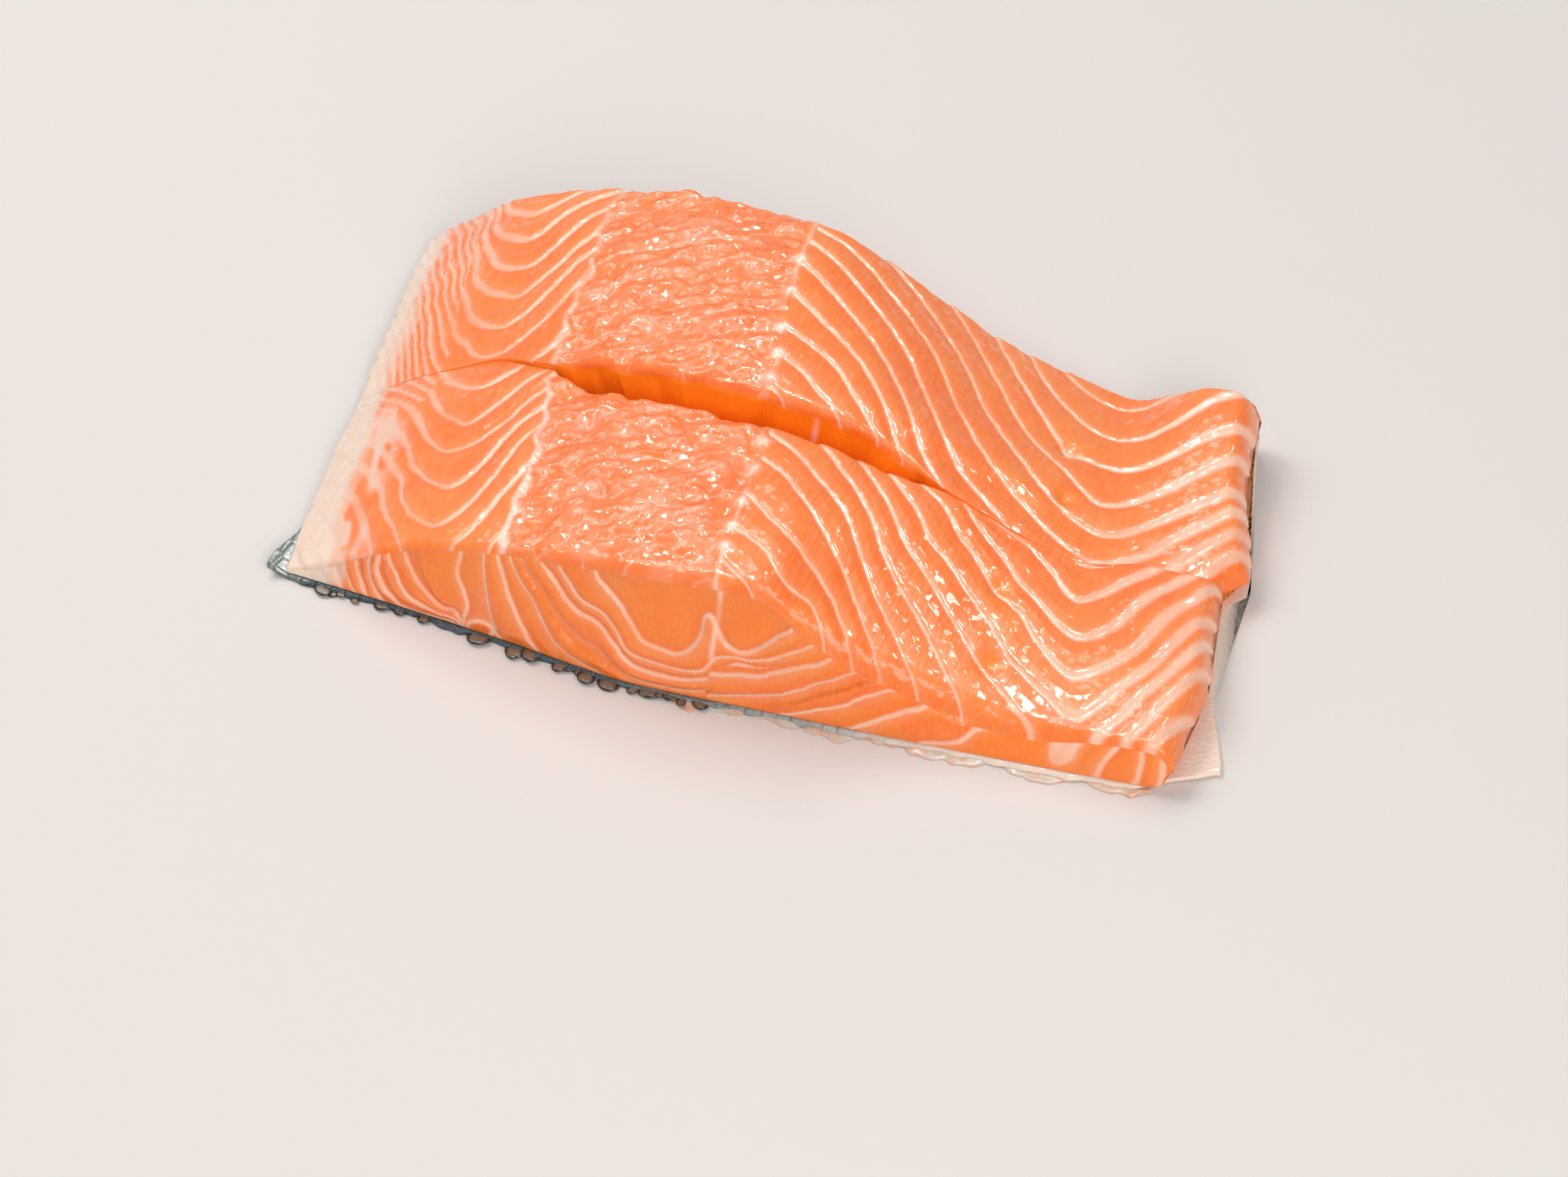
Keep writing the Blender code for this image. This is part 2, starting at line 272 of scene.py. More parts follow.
class SeamField:
    """A smooth count over a surface that is a whole number along each seam it was given."""

    REACH = 40.0       # mm, only to keep the numbers near 1

    def __init__(self, seams):
        places = [place for line in seams.values() for place in line]
        values = [number for number, line in seams.items() for _ in line]
        self.places = np.array(places, dtype=float) / self.REACH
        count = len(places)
        plane = np.c_[np.ones(count), self.places]
        system = np.zeros((count + 3, count + 3))
        system[:count, :count] = self.bend(self.places)
        system[:count, count:] = plane
        system[count:, :count] = plane.T
        self.weights = np.linalg.solve(system, np.r_[values, 0, 0, 0])

    def bend(self, at):
        square = ((at[:, None] - self.places[None]) ** 2).sum(-1)
        return 0.5 * square * np.log(square + 1e-12)

    def __call__(self, across, along):
        at = np.stack([np.ravel(across), np.ravel(along)], -1) / self.REACH
        parts = []
        for some in np.array_split(at, len(at) // 20000 + 1):
            plane = np.c_[np.ones(len(some)), some]
            parts.append(self.bend(some) @ self.weights[:-3] + plane @ self.weights[-3:])
        return np.concatenate(parts).reshape(np.shape(across))


# ---------------------------------------------------------------- meshes

def shift():
    """What turns plan mm into the frame's mm: both portions end at known corners of their boxes."""
    shape = bpy.context.scene.fillet_shape
    low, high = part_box("back_flesh")
    back_corner = BACK_CUT[0][1]
    return np.array([low[0] / MM + shape.side_slant * back_corner, high[1] / MM - back_corner, 0.0])


def outward(rings):
    """Unit normals of a grid of rings (stations, ring, 3) whose faces point outwards."""
    along = np.gradient(rings, axis=0)
    around = np.roll(rings, -1, axis=1) - np.roll(rings, 1, axis=1)
    normal = np.cross(around, along)
    return normal / (np.linalg.norm(normal, axis=-1, keepdims=True) + 1e-9)


def loft(name, rings, material):
    """A closed mesh object through rings (stations, ring, 3) in plan mm, capped at both ends."""
    stations, count = rings.shape[:2]
    index = np.arange(stations * count).reshape(stations, count)
    following = np.roll(index, -1, axis=1)
    quads = np.stack([index[:-1], following[:-1], following[1:], index[1:]], -1).reshape(-1, 4)
    places = (rings.reshape(-1, 3) + shift()) * MM
    mesh = bpy.data.meshes.new(name)
    caps = [index[0][::-1].tolist(), index[-1].tolist()]
    mesh.from_pydata(places.tolist(), [], quads.tolist() + caps)
    mesh.shade_smooth()
    mesh.materials.append(material)
    mesh.update()
    piece = bpy.data.objects.new(name, mesh)
    bpy.context.scene.collection.objects.link(piece)
    return piece


def store(mesh, name, domain, values):
    """Keeps four numbers on each point or face corner, for the material to read."""
    attribute = mesh.attributes.new(name, "FLOAT_COLOR", domain)
    attribute.data.foreach_set("color", np.ascontiguousarray(values, dtype=np.float32).ravel())


def spacing_of(count, rings):
    """How far apart in mm neighbouring whole numbers of a count lie on the surface."""
    along, around = np.gradient(rings, axis=0), np.gradient(rings, axis=1)
    rise_along, rise_around = np.gradient(count, axis=0), np.gradient(count, axis=1)
    aa, bb, ab = (along ** 2).sum(-1), (around ** 2).sum(-1), (along * around).sum(-1)
    square = bb * rise_along ** 2 - 2.0 * ab * rise_along * rise_around + aa * rise_around ** 2
    return np.sqrt(np.clip((aa * bb - ab * ab) / np.clip(square, 1e-9, None), 1.0, 900.0))


# ---------------------------------------------------------------- portions of flesh

UNDERSIDE, REAR_WALL, TOP, FRONT_WALL = range(4)


def lift(x, y):
    """How far the whole thickness stands off the surface at the flap's back corner."""
    shape = bpy.context.scene.fillet_shape
    across = (x + shape.side_slant * y) * MM / shape.width
    return (shape.flap_lift / MM) * smoothstep(0.87, 1.01, across) * smoothstep(70.0, 105.0, y)


def plan_x(across, y, edge):
    """X at a fraction of the width, out to the belly edge at this Y."""
    shape = bpy.context.scene.fillet_shape
    return shape.width / MM * across * curve(edge, y) - shape.side_slant * y


def flap_stations(count, turn=18):
    """Fractions of the width, and how far round the flap's edge each one is, in radians."""
    shape = bpy.context.scene.fillet_shape
    start = 1.0 - shape.flap_radius / shape.width
    angle = np.linspace(0.0, math.radians(84.0), turn)
    across = np.concatenate([np.linspace(0.0, start, count - turn, endpoint=False),
                             start + (1.0 - start) * np.sin(angle)])
    return across, np.concatenate([np.zeros(count - turn), angle])


def portion_rings(across, angle, feet, tops, heights, radii, steps, edge):
    """Cross-sections of a portion in plan mm, and which side of it each ring point is on."""
    shape = bpy.context.scene.fillet_shape
    floor = shape.skin_thickness / MM + TOUCH_GAP
    heights = [np.maximum(height, floor + 0.8) for height in heights]
    middle = [blend(floor, height, FLAP_LIP * 0.8) for height in heights]
    heights = [blend(m, h, np.cos(angle)) for m, h in zip(middle, heights)]
    floors = [blend(m, floor, np.cos(angle)) for m in middle]
    radii = [np.minimum(r, 0.45 * (h - f)) for r, h, f in zip(radii, heights, floors)]
    shoulders = [h - r for h, r in zip(heights, radii)]

    y, z, side = [], [], []

    def add(ys, zs, name):
        y.append(ys)
        z.append(zs)
        side.extend([name] * ys.shape[1])

    def column(values):
        return np.asarray(values)[:, None] * np.ones((len(across), 1))

    def wall(end, name, share):
        add(blend(column(feet[end]), column(tops[end]), share ** 1.3),
            blend(column(floors[end]), column(shoulders[end]), share), name)

    def corner(end, turn):
        inwards = 1.0 - np.cos(turn)
        direction = 1.0 if end == 0 else -1.0
        add(column(tops[end]) + direction * column(radii[end]) * inwards,
            column(shoulders[end]) + column(radii[end]) * np.sin(turn), TOP)

    under, rear, arc, over, front = steps
    share = np.linspace(0.0, 1.0, under, endpoint=False)[None]
    add(blend(column(feet[0]), column(feet[1]), share),
        blend(column(floors[0]), column(floors[1]), share), UNDERSIDE)
    wall(1, REAR_WALL, np.linspace(0.0, 1.0, rear, endpoint=False)[None])
    corner(1, np.linspace(0.0, math.pi / 2.0, arc, endpoint=False)[None])
    share = np.linspace(0.0, 1.0, over)[None]
    crown = shape.crown / MM * 4.0 * share * (1.0 - share) * np.cos(angle)[:, None]
    add(blend(column(tops[1] - radii[1]), column(tops[0] + radii[0]), share),
        blend(column(heights[1]), column(heights[0]), share) + crown, TOP)
    corner(0, np.linspace(math.pi / 2.0, 0.0, arc + 1)[None, 1:])
    wall(0, FRONT_WALL, np.linspace(1.0, 0.0, front + 1)[None, 1:-1])

    y, z = np.concatenate(y, axis=1), np.concatenate(z, axis=1)
    x = plan_x(column(across), y, edge)
    return np.stack([x, y, z + lift(x, y)], -1), np.array(side)


def side_to_side(count, spacing, tightness=0.5):
    """Rises from one seam, then falls sharply at the next: the way that flakes overlap."""
    near = count - np.round(count)
    return 0.5 * np.tanh(near * spacing / tightness) - near


def flake_offset(count, spacing, seed, tightness=0.4):
    """A different level for each flake, met smoothly at the seams."""
    seam = np.round(count)
    cell = np.stack([seam, seam * 0, seam * 0], -1).astype(np.int64)
    one, other = lattice(cell - 1, seed), lattice(cell, seed)
    return blend(one, other, 0.5 + 0.5 * np.tanh((count - seam) * spacing / tightness))


def distance_to(places, x, y):
    """Distance in mm to the nearest of some places."""
    nearest = np.full(np.shape(x), 1e9)
    for px, py in places:
        nearest = np.minimum(nearest, np.hypot(x - px, y - py))
    return nearest


def fat_share(rings, ring_side, from_back):
    """From 0 to 1, how much of the surface is the fat along the fish's back."""
    x, y, z = rings[..., 0], rings[..., 1], rings[..., 2]
    front_zone = smoothstep(54.0, 46.0, y)
    reach = blend(6.0, curve([(-10, 14), (0, 13), (12, 10), (30, 9), (50, 8)], y), front_zone)
    streak = noise(np.stack([x, y * 0.12, z * 0.3], -1), 1.6, 31)
    fat = smoothstep(reach + 3.5, reach - 2.5, from_back + 2.0 * streak)
    fat = np.where(ring_side == REAR_WALL, fat * smoothstep(9.0, 4.0, from_back), fat)
    flecked = smoothstep(reach + 12.0, reach + 5.0, from_back) * front_zone
    flecks = noise(np.stack([x + 0.3 * y, y * 0.3, z * 0.3], -1), 2.4, 33)
    return np.maximum(fat, flecked * (ring_side == TOP) * 0.75 * smoothstep(-0.25, 0.3, flecks))


def deep_orange_and_glow_share(rings, ring_side, slit_side, from_back, pits):
    """From 0 to 1, how far the orange deepens: painted glow in the pits and inside the slit, which lie
    in shade, and on the front face, where two blobs of painted glow lie over its own mottled tone.
    """
    x, z = rings[..., 0], rings[..., 2]
    # painted glow: a brighter orange in the pits and on the slit's wall, which lie in shade
    deep_and_glow = np.maximum(pits, (ring_side == slit_side).astype(float))
    on_front = (ring_side == FRONT_WALL).astype(float) * (slit_side != FRONT_WALL)
    # painted glow: two brighter blobs on the front face, standing in for light scattered inside the
    # flesh
    glow = bump(x, 94.0, 11.0) * bump(z, 27.0, 8.0) + bump(x, 118.0, 8.0) * bump(z, 25.0, 6.0)
    flap = smoothstep(170.0, 190.0, x) * smoothstep(3.0, 6.0, z)
    deep_and_glow = np.maximum(deep_and_glow, on_front * np.clip(0.55 * glow + 0.45 * flap, 0.0, 0.7))
    mottled = 0.3 + 0.5 * noise(np.stack([x, 0 * x, z], -1), (11.0, 1.0, 6.0), 35, 2)
    mottled = np.clip(mottled, 0.0, 0.5) * smoothstep(14.0, 20.0, from_back)
    return np.maximum(deep_and_glow, on_front * mottled)


def flake_relief(kind, count, spacing, ring_side):
    """Height in mm of the overlapping flakes, with a groove along each seam."""
    near = count - np.round(count)
    overlap = -side_to_side(count, spacing) * np.choose(kind, FLAKE_OVERLAP)
    depth = GROOVE_DEPTH * np.where(ring_side == TOP, 1.0, FACE_GROOVE)
    groove = -depth * np.exp(-(near * spacing / GROOVE_WIDTH) ** 2)
    bulge = near ** 2 * np.choose(kind, FLAKE_BULGE)
    level = flake_offset(count, spacing, 7) * np.choose(kind, FLAKE_LEVEL)
    return (overlap + groove + bulge) * np.choose(kind, FLAKE_SHARE) + level


def torn_roughness(flat):
    """The torn stretch: strands a few mm wide that run up to the right, with beads on them."""
    x, y = flat[..., 0], flat[..., 1]
    strand = np.stack([x + 0.5 * y, 2.0 * (y - 0.5 * x), 0 * x], -1)
    ridges = 0.4 - np.abs(noise(strand, 9.0, 54))
    return (0.9 * noise(flat, 7.0, 51) + 0.6 * ridges + 0.5 * noise(strand, 5.0, 53)
            + 0.16 * noise(flat, 1.4, 55))


def store_flakes(mesh, kind, counts, spacings, width, strength):
    """Keeps seam count, spacing, width and strength on the face corners.

    A face takes the counts of one kind for all its corners, so two kinds can meet along a line.
    """
    stations, ring = kind.shape
    row, column = np.divmod(np.arange((stations - 1) * ring), ring)
    following = (column + 1) % ring
    rows = np.stack([row, row, row + 1, row + 1], -1)
    columns = np.stack([column, following, following, column], -1)
    face_kind = kind[row, column][:, None]
    count = np.choose(face_kind, [values[rows, columns] for values in counts])
    spacing = np.choose(face_kind, [values[rows, columns] for values in spacings])
    data = np.stack([count, spacing, width[rows, columns], strength[rows, columns]], -1)
    caps = np.zeros((2 * ring, 4))
    caps[:, 1] = SEAM_SPACING
    store(mesh, "flakes", "CORNER", np.concatenate([data.reshape(-1, 4), caps]))


def dress_portion(name, rings, side, belly, loin, torn_left, face_scale, slit_side, material):
    """Relief, seam counts and tissue of a portion; returns its finished object."""
    scene = bpy.context.scene
    x, y, z = rings[..., 0], rings[..., 1], rings[..., 2]
    ring_side = np.broadcast_to(side, x.shape)
    on_top = (ring_side == TOP).astype(float)
    from_back = x + scene.fillet_shape.side_slant * y
    across = from_back * MM / scene.fillet_shape.width
    flat = np.stack([x, y, np.zeros_like(x)], -1)
    wobble = noise(flat, 7.0, 3)

    # where the torn stretch is, seen from above
    lobes = np.abs(np.sin(math.pi * (y - 2.0) / SEAM_SPACING)) - 0.5
    left = curve(torn_left, y) + 1.3 * lobes + 0.7 * noise(flat, 3.0, 5)
    right = curve(TORN_RIGHT, y) + 0.5 * wobble
    torn = smoothstep(left - 0.8, left + 1.2, x) * smoothstep(right + 1.0, right - 3.0, x) * on_top

    # one seam count for each kind of surface
    face_z = z * face_scale(x, y)
    large = SeamField(loin)(x, y)
    counts = [large,
              (y - 0.5 * (x - 45.0) + 4.0 * wobble + 2.0 * noise(flat, 3.0, 9)) / SEAM_SPACING,
              SeamField(belly)(x, y),
              SeamField(LOIN_FACE_SEAMS)(x, face_z),
              SeamField(BELLY_FACE_SEAMS)(x, face_z),
              SeamField(FLAP_FACE_SEAMS)(x, face_z),
              (x + 0.25 * (38.0 - z) * np.sign(x - 90.0) + 2.5 * wobble) / 14.0,
              2.0 * large]
    spacings = [spacing_of(count, rings) for count in counts]

    # the kind at each point: on a cut face, an upright line parts the loin from the belly,
    # and the rings of the loin reach past it above their foot
    parting = 108.0 + 0.12 * (face_z - 12.0)
    ring_foot = curve([(108, 12.3), (119, 13.7), (127, 17.2), (134, 21.2), (142, 28)], x)
    on_face = np.where(x < 192.0 + 0.3 * face_z, BELLY_FACE, FLAP_FACE)
    in_rings = (face_z > ring_foot) & (x < 142.0)
    on_face = np.where((x < parting) | in_rings, LOIN_FACE, on_face)
    spine = curve(SPINE, y) + 1.5 * wobble
    top = ring_side == TOP
    kind = np.select([top & (x < spine), top & (x < left), top & (x < right), top,
                      ring_side == slit_side],
                     [FINE_LOIN, LOIN, TORN, BELLY, SLIT], on_face)
    count, spacing = np.choose(kind, counts), np.choose(kind, spacings)

    # half-width of the seams in mm, and how strongly they show, in the order of the kinds
    arms = smoothstep(168.0, 196.0, x)
    width = np.choose(kind, [0.45 + 0.5 * smoothstep(26.0, 14.0, x), 0.3, 0.33 + 0.95 * arms, 0.4,
                             0.42 + 0.3 * smoothstep(140.0, 180.0, x), 0.6, 0.5, 0.5])
    strength = np.choose(kind, [0.65, 0.3, 0.68 + 0.2 * arms, 0.8, 0.85, 0.85, 0.0, 0.65])
    strength = strength * (0.75 + 0.25 * noise(flat + z[..., None], 9.0, 21))

    # tissue: fat, a deeper orange with painted glow, and the pale bits: bone ends, torn threads and
    # milky film
    pits = np.exp(-(distance_to(PITS, x, y) / 2.6) ** 2) * on_top
    fat = fat_share(rings, ring_side, from_back)
    deep_and_glow = deep_orange_and_glow_share(rings, ring_side, slit_side, from_back, pits)
    knots = np.exp(-(distance_to(BONE_ENDS, x, y) / 1.5) ** 2) * on_top
    thread = bump(x, curve(TORN_RIGHT, y), 0.45) * on_top * smoothstep(-0.4, 0.5, noise(flat, 8.0, 41))
    rim = bump(x, left + 0.2, 0.7) * on_top * blend(0.5, 1.0, smoothstep(54.0, 46.0, y))
    film = np.clip(knots + 0.5 * thread + 0.8 * rim, 0.0, 1.0)
    septum = bump(x, parting, 0.55) * smoothstep(10.0, 14.0, face_z) * (ring_side == FRONT_WALL)
    film = np.maximum(film, 0.8 * septum * smoothstep(-0.6, 0.4, noise(rings, 4.0, 45)))
    milky = torn * smoothstep(0.1, 0.9, noise(flat, (7.0, 3.5, 1.0), 43, 3)) * 0.15
    pale = np.clip(film + milky, 0.0, 1.0)

    # relief in mm, which fades out at the foot and where the two portions press together
    calm = 0.5 * noise(rings, 13.0, 57) + 0.06 * noise(rings, 2.4, 59)
    depth = scene.fillet_surface.torn_relief / MM
    relief = flake_relief(kind, count, spacing, ring_side) + depth * torn * torn_roughness(flat)
    relief += calm + 0.7 * knots - 1.5 * pits - 0.4 * torn
    relief *= (ring_side != UNDERSIDE) * smoothstep(0.0, 3.5, z - 1.5)
    opening = curve(SLIT_OPENING, across)
    relief = np.where((ring_side == slit_side) & (opening < 0.5), 0.0, relief)
    from_edge = np.abs(np.arange(len(side)) - np.argmax(side == FRONT_WALL))
    relief = blend(calm, relief, blend(0.35, 1.0, smoothstep(0.0, 7.0, from_edge))[None])
    to_cut = np.abs(y - curve(MIDDLE_CUT, across))
    closed = smoothstep(1.2, 0.3, opening) * smoothstep(3.0, 0.6, to_cut) * on_top
    relief = blend(relief, calm, closed)
    direction = blend(outward(rings), np.array([0.0, 0.0, 1.0]), closed[..., None])
    finished = loft(name, rings + direction * relief[..., None], material)
    store_flakes(finished.data, kind, counts, spacings, width, strength)
    # the second channel holds the deeper orange with its painted glow
    store(finished.data, "tissue", "POINT", np.stack([fat, deep_and_glow, torn, pale], -1))
    return finished


# ---------------------------------------------------------------- materials

def linear(code):
    """Linear colour, with alpha, from an sRGB hex code such as "ff8c50"."""
    values = [int(code[i:i + 2], 16) / 255.0 for i in (0, 2, 4)]
    return tuple(v / 12.92 if v <= 0.04045 else ((v + 0.055) / 1.055) ** 2.4 for v in values) + (1.0,)


def add_node(tree, kind, inputs=(), out=0, **settings):
    """Adds a node, sets and links its inputs, and returns the output that is wanted."""
    made = tree.nodes.new(kind)
    for name, value in settings.items():
        setattr(made, name, value)
    for socket, value in dict(inputs).items():
        if isinstance(value, bpy.types.NodeSocket):
            tree.links.new(value, made.inputs[socket])
        else:
            made.inputs[socket].default_value = value
    return made.outputs[out]


def new_material(name):
    """An empty material's tree and its output's surface socket."""
    material = bpy.data.materials.new(name)
    material.use_nodes = True
    material.node_tree.nodes.clear()
    output = material.node_tree.nodes.new("ShaderNodeOutputMaterial")
    return material, material.node_tree, output.inputs["Surface"]


def flesh_material():
    """Raw salmon muscle: wet, a little see-through, orange flakes between pale seams of fat."""
    look = bpy.context.scene.fillet_surface
    material, tree, surface = new_material("raw_salmon_muscle")
    place = add_node(tree, "ShaderNodeTexCoord", out="Object")
    flakes = add_node(tree, "ShaderNodeAttribute", out="Color", attribute_name="flakes")
    strength = flakes.node.outputs["Alpha"]
    count, spacing, width = add_node(tree, "ShaderNodeSeparateColor", {0: flakes}).node.outputs
    tissue = add_node(tree, "ShaderNodeAttribute", out="Color", attribute_name="tissue")
    pale = tissue.node.outputs["Alpha"]
    fat, deep_and_glow, torn = add_node(tree, "ShaderNodeSeparateColor", {0: tissue}).node.outputs

    # distance in mm past the nearest seam, whose line wavers by a few tenths of a mm
    waver = add_node(tree, "ShaderNodeTexNoise", {"Vector": place, "Scale": 1 / (4 * MM),
                                                  "Detail": 2.0})
    for operation, value in (("SUBTRACT", 0.5), ("MULTIPLY", 1.1), ("DIVIDE", spacing),
                             ("ADD", count)):
        waver = add_node(tree, "ShaderNodeMath", {0: waver, 1: value}, operation=operation)
    seam = add_node(tree, "ShaderNodeMath", {0: waver}, operation="ROUND")
    past = add_node(tree, "ShaderNodeMath", {0: waver, 1: seam}, operation="SUBTRACT")
    past = add_node(tree, "ShaderNodeMath", {0: past, 1: spacing}, operation="MULTIPLY")
    away = add_node(tree, "ShaderNodeMath", {0: past}, operation="ABSOLUTE")

    # the seam itself; painted light that pales a flake towards its far seam over 3.6 mm, on the raised
    # edge of its step, and painted shade that darkens it again just past the seam, under the step
    inner = add_node(tree, "ShaderNodeMath", {0: width, 1: 0.35}, operation="MULTIPLY")
    outer = add_node(tree, "ShaderNodeMath", {0: width, 1: 1.75}, operation="MULTIPLY")
    before = add_node(tree, "ShaderNodeMath", {0: past, 1: -3.6}, operation="DIVIDE")
    after = add_node(tree, "ShaderNodeMath", {0: past, 1: 1.3}, operation="DIVIDE")
    aside = add_node(tree, "ShaderNodeMath", {0: before, 1: after}, operation="MAXIMUM")
    beyond = add_node(tree, "ShaderNodeMath", {0: past, 1: 0.0}, operation="GREATER_THAN")
    shares = []
    for distance, low, high, most in ((away, inner, outer, 1.0), (aside, 0.0, 1.0, 0.36),
                                      (past, 0.2, 3.0, 0.5)):
        share = add_node(tree, "ShaderNodeMapRange", {0: distance, 1: low, 2: high, 3: 1.0, 4: 0.0},
                         interpolation_type="SMOOTHSTEP")
        share = add_node(tree, "ShaderNodeMath", {0: share, 1: strength}, operation="MULTIPLY")
        share = add_node(tree, "ShaderNodeMath", {0: share, 1: most}, operation="MULTIPLY")
        shares.append(share)
    line, painted_edge_light, under = shares
    # painted shade: darker orange only just past each seam, where the step drops
    under = add_node(tree, "ShaderNodeMath", {0: under, 1: beyond}, operation="MULTIPLY")

    # muscle fibres, about 0.5 mm apart and drawn along the fish
    along = add_node(tree, "ShaderNodeMapping", {"Vector": place, "Rotation": (0.0, 0.0, 0.12),
                                                 "Scale": (1.0, 0.1, 0.5)})
    fibre = add_node(tree, "ShaderNodeTexNoise", {"Vector": along, "Scale": 1 / (0.75 * MM),
                                                  "Detail": 3.0, "Roughness": 0.6})
    cloud = add_node(tree, "ShaderNodeTexNoise", {"Vector": place, "Scale": 1 / (16 * MM),
                                                  "Detail": 3.0})
    mottle = add_node(tree, "ShaderNodeTexNoise", {"Vector": place, "Scale": 1 / (2.2 * MM),
                                                   "Detail": 4.0, "Roughness": 0.65})
    own = add_node(tree, "ShaderNodeTexWhiteNoise", {"W": seam}, out="Value",
                   noise_dimensions="1D")
    own = add_node(tree, "ShaderNodeMath", {0: own, 1: 0.3}, operation="MULTIPLY")
    tone = add_node(tree, "ShaderNodeMapRange", {0: cloud, 1: 0.35, 2: 0.65, 3: 0.0, 4: 1.0})
    fibres = add_node(tree, "ShaderNodeMapRange", {0: fibre, 1: 0.42, 2: 0.68, 3: 0.0, 4: 0.24})
    torn_share = add_node(tree, "ShaderNodeMath", {0: torn, 1: mottle}, operation="MULTIPLY")
    streaked = add_node(tree, "ShaderNodeMix", {0: fibres, 6: look.fat[:] + (1.0,),
                                                7: linear("eaa888")}, out=2, data_type="RGBA")

    # colours from the plain muscle up, each laid over the last by its share
    colour = look.muscle[:] + (1.0,)
    for share, paint in (
            (tone, look.muscle_light[:] + (1.0,)),   # soft clouds of paler orange
            (own, linear("ff6a18")),                 # each flake has its own depth
            (fibres, linear("ffae7c")),              # fine pale grain
            (torn_share, linear("ff7a3c")),          # pinker where the membrane came off
            (deep_and_glow, look.deep_and_glow[:] + (1.0,)),           # painted glow: brighter orange in the slit, the pits and blobs of the front face
            (painted_edge_light, linear("ffbb97")),                # painted light on a flake's raised edge, paling it towards its seam
            (under, linear("fa6212")),               # painted shade just past the seam, under the step
            (line, look.seam[:] + (1.0,)),           # the seam of fat
            (fat, streaked),                         # cream fat with pink streaks
            (pale, linear("ffd9c4"))):               # bone ends, threads and film
        colour = add_node(tree, "ShaderNodeMix", {0: share, 6: colour, 7: paint}, out=2,
                          data_type="RGBA")

    # fine relief: seams a little sunk, fibres, and the wet beads of the torn stretch
    sunk, fine, beads = [
        add_node(tree, "ShaderNodeMath", {0: source, 1: depth * MM}, operation="MULTIPLY")
        for source, depth in ((line, -0.12), (fibre, 0.22), (torn_share, 0.2))]
    height = add_node(tree, "ShaderNodeMath", {0: sunk, 1: fine}, operation="ADD")
    height = add_node(tree, "ShaderNodeMath", {0: height, 1: beads}, operation="ADD")
    relief = add_node(tree, "ShaderNodeBump", {"Height": height, "Distance": 1.0, "Strength": 0.8})

    # the wet film lies in small flat patches, each tilted its own way
    patches = add_node(tree, "ShaderNodeTexVoronoi", {"Vector": place, "Scale": 1 / (1.5 * MM)},
                       out="Color")
    tilt = add_node(tree, "ShaderNodeVectorMath", {0: patches, 1: (0.5, 0.5, 0.5)},
                    operation="SUBTRACT")
    inside = add_node(tree, "ShaderNodeVectorMath", {0: place, 1: patches.node.outputs["Position"]},
                      operation="SUBTRACT")
    patch = add_node(tree, "ShaderNodeVectorMath", {0: tilt, 1: inside}, out=1,
                     operation="DOT_PRODUCT")
    slope = add_node(tree, "ShaderNodeMapRange", {0: torn, 1: 0.0, 2: 1.0, 3: 0.24, 4: 0.66})
    film = add_node(tree, "ShaderNodeMath", {0: patch, 1: slope}, operation="MULTIPLY")
    film = add_node(tree, "ShaderNodeMath", {0: film, 1: sunk}, operation="ADD")
    wet = add_node(tree, "ShaderNodeBump", {"Height": film, "Distance": 1.0, "Strength": 1.0})

    shader = add_node(tree, "ShaderNodeBsdfPrincipled", {
        "Base Color": colour, "Roughness": 0.42, "IOR": 1.38, "Normal": relief,
        "Subsurface Weight": 0.2, "Subsurface Radius": (1.0, 0.45, 0.2),
        "Subsurface Scale": 2.0 * MM, "Coat Weight": 1.0, "Coat Roughness": 0.12,
        "Coat IOR": 1.36, "Coat Normal": wet})
    tree.links.new(shader, surface)
    return material


